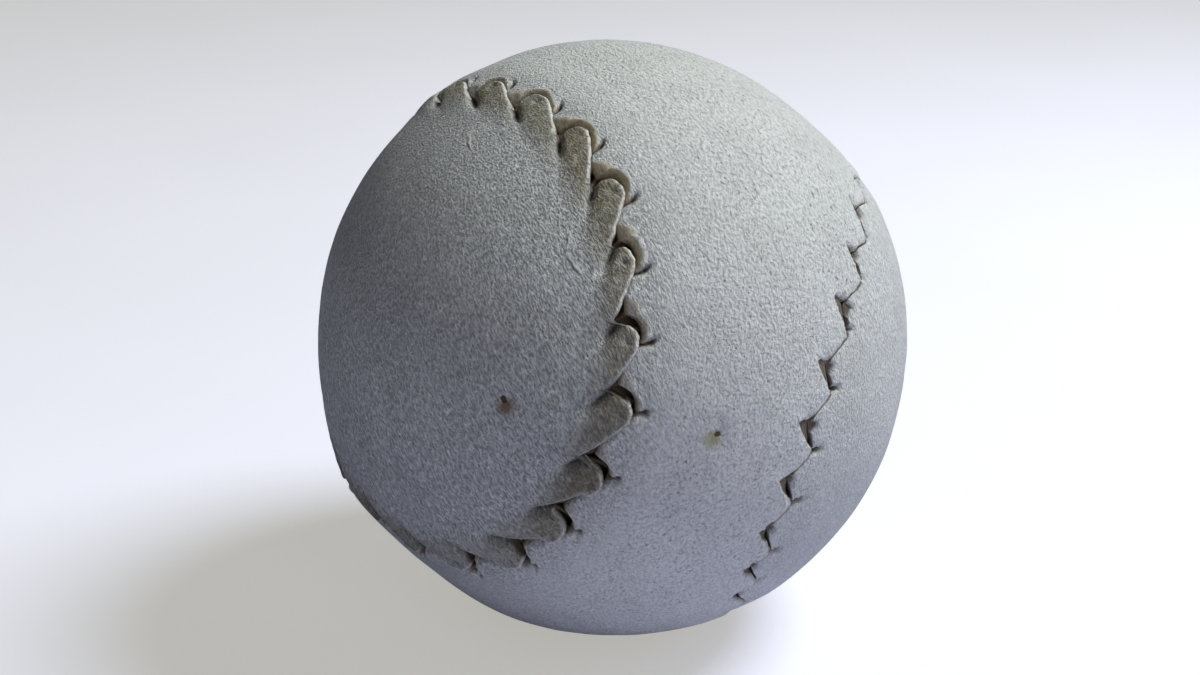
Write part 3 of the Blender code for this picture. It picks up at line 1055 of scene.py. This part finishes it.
def core_mesh(radius):
    """A ball turned on a lathe, with shallow tool rings and a pip at each end."""
    mesh = bmesh.new()
    bmesh.ops.create_uvsphere(mesh, u_segments=CORE_SEGMENTS, v_segments=CORE_SEGMENTS, radius=radius)
    for vertex in mesh.verts:
        polar = math.acos(max(-1.0, min(1.0, vertex.co.z / vertex.co.length)))
        ring = TOOL_RING * math.sin(TOOL_RINGS * polar)
        pip = PIP_DEPTH * math.exp(-((math.sin(polar) / PIP_WIDTH) ** 2))
        vertex.co *= (vertex.co.length + ring - pip) / vertex.co.length
    return finished(new_mesh("turned_core", mesh), {})


def add_piece(data, material, node):
    """Puts a finished mesh in the frame in place of the CAD node."""
    piece = bpy.data.objects.new(data.name, data)
    bpy.context.scene.collection.objects.link(piece)
    data.materials.append(material)
    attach(piece, "root")
    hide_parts(node)
    return piece


# Materials

# Textures: how many swells in a metre, how many finer layers, and how strong those are
WEAR = (160.0, 5.0, 0.6)
WAX_PATCHES = (1100.0, 5.0, 0.7)
MARK_EDGES = (1300.0, 3.0, 0.5)
CUT_FLECKS = (2600.0, 3.0, 0.65)
THREAD_FIBRE = (5200.0, 4.0, 0.65)
STRAND_FUZZ = (3000.0, 4.0, 0.65)
WOOD_BEND = (140.0, 3.0, 0.5)
WOOD_PORES = (2600.0, 3.0, 0.6)
FLOOR_MOTTLE = (14.0, 4.0, 0.5)
WOOD_RINGS = 900.0
CREASE_WOBBLE = 900.0
CREASE_STRAY = 0.02

# Marks round a pinhole, its rust and the painted shade of its core: how ragged, and where each starts and
# ends to fade
MARK_RAGGED = 1.1 * MM
RUST_ENDS = (2.0 * MM, 0.7 * MM)
PINHOLE_ENDS = (1.05 * MM, 0.75 * MM)

# Depth of the fine relief, which for strands is a share of their thickness
LEATHER_BUMP = 0.30 * MM
THREAD_BUMP = 0.08 * MM
WOOD_BUMP = 0.05 * MM
STRAND_BUMP = 0.12

FLOOR_GLOW = (1.0, 0.985, 0.86, 1.0)
FLOOR_GLOW_STRENGTH = 0.42


class Nodes:
    """Adds nodes to one tree. Each helper gives back the socket where its result comes out."""

    def __init__(self, tree):
        self.tree = tree

    def put(self, kind, settings=None, links=None):
        """Adds a node, sets its own settings, and gives its inputs by name or number."""
        made = self.tree.nodes.new(kind)
        for key, value in (settings or {}).items():
            setattr(made, key, value)
        for key, value in (links or {}).items():
            self.give(made.inputs[key], value)
        return made

    def give(self, socket, value):
        """Links an input to a socket, or sets it to a plain value."""
        if isinstance(value, bpy.types.NodeSocket):
            self.tree.links.new(value, socket)
        else:
            socket.default_value = value

    def calc(self, operation, first, second=0.0, clamp=False):
        settings = {"operation": operation, "use_clamp": clamp}
        return self.put("ShaderNodeMath", settings, {0: first, 1: second}).outputs[0]

    def times(self, first, second):
        return self.calc("MULTIPLY", first, second)

    def plus(self, first, second):
        return self.calc("ADD", first, second)

    def minus(self, first, second):
        return self.calc("SUBTRACT", first, second)

    def vector(self, operation, first, second=(0.0, 0.0, 0.0)):
        made = self.put("ShaderNodeVectorMath", {"operation": operation}, {0: first, 1: second})
        return made.outputs["Value" if operation in ("DOT_PRODUCT", "DISTANCE") else "Vector"]

    def mix(self, share, first, second):
        return self.put("ShaderNodeMix", None, {0: share, 2: first, 3: second}).outputs[0]

    def blend(self, share, first, second, mode="MIX"):
        settings = {"data_type": "RGBA", "blend_type": mode}
        return self.put("ShaderNodeMix", settings, {0: share, 6: first, 7: second}).outputs[2]

    def shaded(self, colour, tone):
        """The colour times a grey of this tone."""
        grey = self.put("ShaderNodeCombineColor", None, {0: tone, 1: tone, 2: tone}).outputs[0]
        return self.blend(1.0, colour, grey, "MULTIPLY")

    def spread(self, value, low, high, to_low=0.0, to_high=1.0):
        links = {"Value": value, "From Min": low, "From Max": high, "To Min": to_low, "To Max": to_high}
        return self.put("ShaderNodeMapRange", {"interpolation_type": "SMOOTHSTEP"}, links).outputs[0]

    def cloud(self, where, scale, detail, roughness=0.5):
        links = {"Vector": where, "Scale": scale, "Detail": detail, "Roughness": roughness}
        return self.put("ShaderNodeTexNoise", None, links).outputs["Fac"]

    def fibres(self, where, scale):
        """Thin curled lines, broken into short lengths."""
        level = self.calc("ABSOLUTE", self.minus(self.cloud(where, scale, 1.0), 0.5))
        broken = self.spread(self.cloud(where, 0.8 * scale, 1.0), 0.46, 0.6)
        return self.times(self.spread(level, 0.05, 0.0), broken)

    def combed(self, where, turn, along):
        """The place turned so that the nap lies along Z, and stretched that way."""
        links = {"Vector": where, "Rotation": turn}
        turned = self.put("ShaderNodeVectorRotate", {"rotation_type": "EULER_XYZ"}, links).outputs[0]
        return self.stretched(turned, along)

    def stretched(self, where, along):
        links = {"Vector": where, "Scale": (1.0, 1.0, along)}
        return self.put("ShaderNodeMapping", None, links).outputs[0]

    def bump(self, height, distance, strength=1.0):
        links = {"Strength": strength, "Distance": distance, "Height": height}
        return self.put("ShaderNodeBump", None, links).outputs[0]

    def mark(self, name):
        return self.put("ShaderNodeAttribute", {"attribute_name": name}).outputs["Fac"]

    def place(self):
        return self.put("ShaderNodeTexCoord").outputs["Object"]

    def camera_sees(self):
        return self.put("ShaderNodeLightPath").outputs["Is Camera Ray"]

    def surface(self, colour, roughness, more):
        """Ends a material with a shader that has these inputs."""
        links = {"Base Color": colour, "Roughness": roughness, **more}
        shader = self.put("ShaderNodeBsdfPrincipled", None, links)
        self.put("ShaderNodeOutputMaterial", None, {0: shader.outputs[0]})


def rgba(colour):
    return (*colour, 1.0)


def new_material(name):
    material = bpy.data.materials.new(name)
    material.use_nodes = True
    material.node_tree.nodes.clear()
    return material, Nodes(material.node_tree)


def new_group(name, inputs, outputs):
    """An empty node group, with the sockets that its inputs come out of and its outputs go into."""
    group = bpy.data.node_groups.new(name, "ShaderNodeTree")
    for label, kind in inputs.items():
        group.interface.new_socket(label, in_out="INPUT", socket_type=f"NodeSocket{kind}")
    for label in outputs:
        group.interface.new_socket(label, in_out="OUTPUT", socket_type="NodeSocketFloat")
    given = group.nodes.new("NodeGroupInput").outputs
    wanted = group.nodes.new("NodeGroupOutput").inputs
    return Nodes(group), given, wanted


def grain_group(leather):
    """Leather grain: pits on an uneven face, or a nap of short fibres that lie one way."""
    inputs = {"Vector": "Vector", "Nap": "Float"}
    nodes, given, wanted = new_group("Leather grain", inputs, ("Height", "Tone"))
    where, nap = given["Vector"], given["Nap"]
    per_metre = 1 / leather.grain
    turn = Vector(leather.nap).rotation_difference(Vector((0, 0, 1))).to_euler()
    along = nodes.combed(where, turn, 0.4)
    turn.x += 0.6
    aslant = nodes.combed(where, turn, 0.45)
    brushed = nodes.combed(where, turn, 0.75)
    grain = nodes.cloud(brushed, per_metre, 3.0, 0.6)
    broad = nodes.cloud(where, 0.35 * per_metre, 2.0)
    pits = nodes.spread(nodes.cloud(brushed, 0.9 * per_metre, 2.0), 0.4, 0.3)
    curls = nodes.fibres(along, 0.55 * per_metre)
    lines = nodes.calc("MAXIMUM", curls, nodes.fibres(aslant, 0.7 * per_metre))
    fluff = nodes.cloud(along, 1.4 * per_metre, 3.0, 0.6)
    rough = nodes.minus(grain, nodes.times(pits, 0.25))
    nappy = nodes.plus(nodes.times(fluff, 1.9), nodes.times(lines, 0.25))
    height = nodes.plus(nodes.mix(nap, rough, nappy), nodes.times(broad, 0.5))
    dark = nodes.minus(nodes.spread(grain, 0.3, 0.65, 0.76, 1.12), nodes.times(pits, 0.30))
    light = nodes.plus(nodes.spread(fluff, 0.32, 0.68, 0.50, 1.18), nodes.times(lines, 0.45))
    nodes.give(wanted["Height"], height)
    nodes.give(wanted["Tone"], nodes.mix(nap, dark, light))
    return nodes.tree


def crease_group():
    """A thin ridge between two directions from the ball's centre, that fades at both ends."""
    inputs = {"Vector": "Vector", "Start": "Vector", "End": "Vector", "Width": "Float"}
    nodes, given, wanted = new_group("Crease", inputs, ("Ridge",))
    links = {"Vector": given["Vector"], "Scale": CREASE_WOBBLE}
    wobble = nodes.put("ShaderNodeTexNoise", None, links).outputs["Color"]
    wobble = nodes.vector("MULTIPLY", nodes.vector("SUBTRACT", wobble, (0.5,) * 3), (CREASE_STRAY,) * 3)
    way = nodes.vector("ADD", nodes.vector("NORMALIZE", given["Vector"]), wobble)
    gone = nodes.vector("SUBTRACT", way, given["Start"])
    line = nodes.vector("SUBTRACT", given["End"], given["Start"])
    reached = nodes.vector("DOT_PRODUCT", gone, line)
    share = nodes.calc("DIVIDE", reached, nodes.vector("DOT_PRODUCT", line, line), clamp=True)
    foot = nodes.put("ShaderNodeVectorMath", {"operation": "SCALE"}, {0: line, "Scale": share}).outputs[0]
    across = nodes.calc("DIVIDE", nodes.vector("DISTANCE", gone, foot), given["Width"])
    ends = nodes.calc("SINE", nodes.times(share, math.pi))
    nodes.give(wanted["Ridge"], nodes.times(nodes.spread(across, 1.0, 0.0), ends))
    return nodes.tree


def leather_material(name, leather, look, panel, grain, crease):
    """Pale hide, greyed by play, stained by wax at the tongues and dark in the folds."""
    material, nodes = new_material(name)
    where = nodes.place()
    links = {"Vector": where, "Nap": nodes.mark("nap")}
    height, tone = nodes.put("ShaderNodeGroup", {"node_tree": grain}, links).outputs
    worn = nodes.times(nodes.spread(nodes.cloud(where, *WEAR), 0.35, 0.7), 0.35)
    colour = nodes.blend(worn, rgba(leather.hide), rgba(leather.handled))
    patchy = nodes.spread(nodes.cloud(where, *WAX_PATCHES), 0.33, 0.6, 0.68, 1.0)
    waxed = nodes.times(nodes.mark("stain"), patchy)
    colour = nodes.shaded(nodes.blend(waxed, colour, rgba(look.stain)), tone)
    uneven = nodes.times(nodes.cloud(where, *MARK_EDGES), MARK_RAGGED)
    even = nodes.vector("MULTIPLY", nodes.vector("NORMALIZE", where), (panel.radius,) * 3)
    pinhole = Vector(panel.pinhole * panel.radius)
    to_rust = nodes.plus(nodes.vector("DISTANCE", even, pinhole + look.trail), uneven)
    colour = nodes.blend(nodes.spread(to_rust, *RUST_ENDS, 0.0, 0.9), colour, rgba(look.rust))
    flecks = nodes.spread(nodes.cloud(where, *CUT_FLECKS), 0.40, 0.52, 0.3, 1.0)
    colour = nodes.blend(nodes.times(nodes.mark("cut"), flecks), colour, rgba(look.cut_edge))
    # Painted shade: the pinhole's dark core, and the folds, slits, notches, holes and cut walls that the
    # crease mark darkens
    to_pinhole = nodes.plus(nodes.vector("DISTANCE", even, pinhole), uneven)
    dark = nodes.calc("MAXIMUM", nodes.mark("crease"), nodes.spread(to_pinhole, *PINHOLE_ENDS))
    colour = nodes.blend(nodes.spread(dark, 0.15, 0.85), colour, rgba(leather.painted_shade))
    for start, end in panel.creases:
        links = {"Vector": where, "Start": start, "End": end, "Width": CREASE_WIDTH / panel.radius}
        ridge = nodes.put("ShaderNodeGroup", {"node_tree": crease}, links).outputs["Ridge"]
        height = nodes.plus(height, nodes.times(ridge, 1.6))
        # Painted highlight: each crease ridge is painted pale
        colour = nodes.blend(nodes.times(ridge, 0.75), colour, rgba(look.cut_edge))
    normal = nodes.bump(height, LEATHER_BUMP, nodes.minus(1.0, nodes.times(waxed, look.smoothed)))
    more = {"Specular IOR Level": 0.3, "Sheen Weight": 0.05, "Normal": normal}
    nodes.surface(colour, nodes.spread(tone, 0.7, 1.1, 0.8, 0.6), more)
    return material


def thread_material(colour):
    """Dark waxed thread, worn paler along its plies."""
    material, nodes = new_material("waxed thread")
    fibre = nodes.cloud(nodes.place(), *THREAD_FIBRE)
    colour = nodes.shaded(rgba(colour), nodes.spread(fibre, 0.3, 0.7, 0.6, 1.25))
    roughness = nodes.spread(fibre, 0.3, 0.7, 0.65, 0.4)
    nodes.surface(colour, roughness, {"Normal": nodes.bump(fibre, THREAD_BUMP)})
    return material


def strand_material(name, winding):
    """Strands side by side in each turn, with their twist, and a tone of its own for each turn."""
    material, nodes = new_material(name)
    fuzz = nodes.cloud(nodes.place(), *STRAND_FUZZ)
    across = nodes.mark("across")
    ridges = nodes.calc("COSINE", nodes.times(across, math.pi * winding.plies / 2))
    twist = nodes.times(nodes.mark("along"), FULL_TURN / winding.twist)
    lay = nodes.calc("SINE", nodes.plus(twist, nodes.times(across, 4.0)))
    height = nodes.plus(nodes.calc("ABSOLUTE", ridges), nodes.times(lay, 0.3))
    height = nodes.plus(height, nodes.times(fuzz, 0.8))
    tone = nodes.spread(nodes.mark("tone"), 0.0, 1.0)
    colour = nodes.blend(tone, rgba(winding.colour), rgba(winding.shade))
    # Painted shade: darker where the strands' relief is low, in the grooves between them
    colour = nodes.shaded(colour, nodes.spread(height, -0.2, 1.6, 0.62, 1.05))
    colour = nodes.blend(nodes.mark("soaked"), colour, rgba(winding.soaked))
    roughness = nodes.spread(fuzz, 0.3, 0.7, winding.roughness, winding.roughness + 0.12)
    nodes.surface(colour, roughness, {"Normal": nodes.bump(height, winding.thickness * STRAND_BUMP)})
    return material


def wood_material(core):
    """Close-grained turned wood with faint growth rings and fine pores."""
    material, nodes = new_material("boxwood")
    where = nodes.place()
    bent = nodes.times(nodes.cloud(where, *WOOD_BEND), 3.0)
    level = nodes.put("ShaderNodeSeparateXYZ", None, {0: where}).outputs[0]
    rings = nodes.times(nodes.plus(nodes.times(level, WOOD_RINGS), bent), FULL_TURN)
    rings = nodes.spread(nodes.calc("SINE", rings), -1.0, 1.0)
    pores = nodes.cloud(nodes.stretched(where, 0.08), *WOOD_PORES)
    colour = nodes.blend(rings, rgba(core.colour), rgba(core.shade))
    colour = nodes.shaded(colour, nodes.spread(pores, 0.35, 0.7, 1.05, 0.8))
    roughness = nodes.spread(pores, 0.3, 0.7, 0.42, 0.58)
    nodes.surface(colour, roughness, {"Normal": nodes.bump(pores, WOOD_BUMP)})
    return material


def floor_material(colour):
    """A pale floor, lifted towards white where the camera looks straight at it."""
    material, nodes = new_material("pale floor")
    mottle = nodes.cloud(nodes.place(), *FLOOR_MOTTLE)
    colour = nodes.shaded(rgba(colour), nodes.spread(mottle, 0.3, 0.7, 0.97, 1.0))
    glow = nodes.times(nodes.camera_sees(), FLOOR_GLOW_STRENGTH)
    more = {"Specular IOR Level": 0.1, "Emission Color": FLOOR_GLOW, "Emission Strength": glow}
    nodes.surface(colour, nodes.spread(mottle, 0.3, 0.7, 0.75, 0.85), more)
    return material


# Operators


class FRONTON_OT_cover(Operator):
    """Build the two sewn leather panels"""

    bl_idname = "fronton.cover"
    bl_label = "Leather cover"

    def execute(self, context):
        scene = context.scene
        ball, leather = scene.fronton_ball, scene.fronton_leather
        seam = SeamLine(ball)
        stitches = Stitches(seam, scene.fronton_sewing)
        grain, crease = grain_group(leather), crease_group()
        for side, number in ((1, 1), (-1, 2)):
            look = getattr(scene, f"fronton_panel_{number}")
            panel = LeatherPanel(ball, seam, stitches, side, look.pinhole)
            data = panel.build(f"leather_cover_panel_{number}")
            material = leather_material(f"leather {number}", leather, look, panel, grain, crease)
            add_piece(data, material, f"cover_panel_{number}")
        return {"FINISHED"}


class FRONTON_OT_thread(Operator):
    """Lace the seam with waxed thread"""

    bl_idname = "fronton.thread"
    bl_label = "Seam thread"

    def execute(self, context):
        sewing = context.scene.fronton_sewing
        seam = SeamLine(context.scene.fronton_ball)
        data = thread_mesh(seam, Stitches(seam, sewing), sewing.thread)
        add_piece(data, thread_material(sewing.thread_colour), "seam_thread")
        return {"FINISHED"}


class FRONTON_OT_windings(Operator):
    """Wind the latex, the wool and the cotton"""

    bl_idname = "fronton.windings"
    bl_label = "Windings"

    def execute(self, context):
        seam = SeamLine(context.scene.fronton_ball)
        for seed, layer in enumerate(("latex", "wool", "cotton")):
            winding = getattr(context.scene, f"fronton_{layer}")
            low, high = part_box(f"{layer}_winding")
            outside = (high - low).length / math.sqrt(12)
            data = wound_mesh(f"wound_{layer}", outside, winding, seam, seed)
            add_piece(data, strand_material(f"{layer} strands", winding), f"{layer}_winding")
        return {"FINISHED"}


class FRONTON_OT_core(Operator):
    """Turn the wooden core"""

    bl_idname = "fronton.core"
    bl_label = "Wooden core"

    def execute(self, context):
        core = context.scene.fronton_core
        add_piece(core_mesh(core.diameter / 2), wood_material(core), "core")
        return {"FINISHED"}


# Stage: lights are a place, a size across and a colour, and the sky is what its white casts
KEY_LIGHT = ((0.29, 0.03, 0.405), 0.24, (0.955, 1.0, 0.985))
LOW_LIGHT = ((0.66, -1.2, 0.36), 0.72, (0.86, 0.87, 1.0))
SKY_COLOUR = (1.0, 0.985, 0.95, 1.0)
SKY_STRENGTH = 0.092
FLOOR_REACH = 3.0
NEAREST_SEEN = 0.01


class FRONTON_OT_stage(Operator):
    """Build the floor, the lights and the camera"""

    bl_idname = "fronton.stage"
    bl_label = "Stage"

    def execute(self, context):
        scene = context.scene
        stage = scene.fronton_stage
        self.floor(scene, stage)
        self.camera(scene, stage)
        self.light(scene, "key light", stage.key, *KEY_LIGHT)
        self.light(scene, "low light", stage.low, *LOW_LIGHT)
        self.sky(scene)
        scene.view_settings.view_transform = "Standard"
        return {"FINISHED"}

    @staticmethod
    def floor(scene, stage):
        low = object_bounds()[0].z
        ways = ((-1, -1), (1, -1), (1, 1), (-1, 1))
        data = bpy.data.meshes.new("floor")
        data.from_pydata([(FLOOR_REACH * x, FLOOR_REACH * y, low) for x, y in ways], [], [(0, 1, 2, 3)])
        data.materials.append(floor_material(stage.floor))
        floor = bpy.data.objects.new("floor", data)
        scene.collection.objects.link(floor)
        floor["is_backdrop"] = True

    @staticmethod
    def camera(scene, stage):
        data = bpy.data.cameras.new("camera")
        data.lens = stage.lens
        data.shift_x, data.shift_y = stage.shift
        data.clip_start = NEAREST_SEEN
        camera = bpy.data.objects.new("camera", data)
        camera.location = Vector(camera_axes(stage)[2]) * stage.distance
        camera.rotation_euler = (math.pi / 2 - stage.elevation, 0, 0)
        scene.collection.objects.link(camera)
        scene.camera = camera

    @staticmethod
    def light(scene, name, power, place, size, colour):
        lamp = bpy.data.lights.new(name, "AREA")
        lamp.shape = "DISK"
        lamp.size = size
        lamp.energy = power
        lamp.color = colour
        holder = bpy.data.objects.new(name, lamp)
        holder.location = place
        holder.visible_camera = False
        holder.rotation_euler = (-Vector(place)).to_track_quat("-Z", "Y").to_euler()
        scene.collection.objects.link(holder)

    @staticmethod
    def sky(scene):
        """A white backdrop that casts only a dim, faintly warm light."""
        world = bpy.data.worlds.new("studio")
        scene.world = world
        world.use_nodes = True
        nodes = Nodes(world.node_tree)
        seen = world.node_tree.nodes["Background"]
        seen.inputs["Color"].default_value = (1.0, 1.0, 1.0, 1.0)
        seen.inputs["Strength"].default_value = 1.0
        cast = nodes.put("ShaderNodeBackground", None, {"Color": SKY_COLOUR, "Strength": SKY_STRENGTH})
        links = {0: nodes.camera_sees(), 1: cast.outputs[0], 2: seen.outputs[0]}
        both = nodes.put("ShaderNodeMixShader", None, links)
        nodes.give(world.node_tree.nodes["World Output"].inputs[0], both.outputs[0])


class FRONTON_PT_sidebar(Panel):
    """Lists the ball's pieces and settings in the sidebar"""

    bl_idname = "FRONTON_PT_sidebar"
    bl_label = "Fronton Ball"
    bl_space_type = "VIEW_3D"
    bl_region_type = "UI"
    bl_category = "Fronton Ball"

    def draw(self, context):
        for operator in OPERATORS:
            self.layout.operator(operator.bl_idname)
        for name in SETTINGS:
            group = getattr(context.scene, name)
            box = self.layout.box()
            for key in group.bl_rna.properties.keys():
                if key not in ("name", "rna_type"):
                    box.prop(group, key)


SETTINGS = {
    "fronton_ball": BallSettings,
    "fronton_sewing": SewingSettings,
    "fronton_leather": LeatherSettings,
    "fronton_panel_1": Panel1Settings,
    "fronton_panel_2": Panel2Settings,
    "fronton_latex": LatexSettings,
    "fronton_wool": WoolSettings,
    "fronton_cotton": CottonSettings,
    "fronton_core": CoreSettings,
    "fronton_stage": StageSettings,
}
OPERATORS = (FRONTON_OT_cover, FRONTON_OT_thread, FRONTON_OT_windings, FRONTON_OT_core, FRONTON_OT_stage)


def register():
    for name, group in SETTINGS.items():
        bpy.utils.register_class(group)
        setattr(bpy.types.Scene, name, PointerProperty(type=group))
    for kind in (*OPERATORS, FRONTON_PT_sidebar):
        bpy.utils.register_class(kind)


def unregister():
    for kind in (FRONTON_PT_sidebar, *reversed(OPERATORS)):
        bpy.utils.unregister_class(kind)
    for name, group in reversed(SETTINGS.items()):
        delattr(bpy.types.Scene, name)
        bpy.utils.unregister_class(group)


def main():
    register()
    bpy.ops.fronton.core()
    bpy.ops.fronton.windings()
    bpy.ops.fronton.thread()
    bpy.ops.fronton.cover()
    bpy.ops.fronton.stage()


if __name__ == "__main__":
    main()
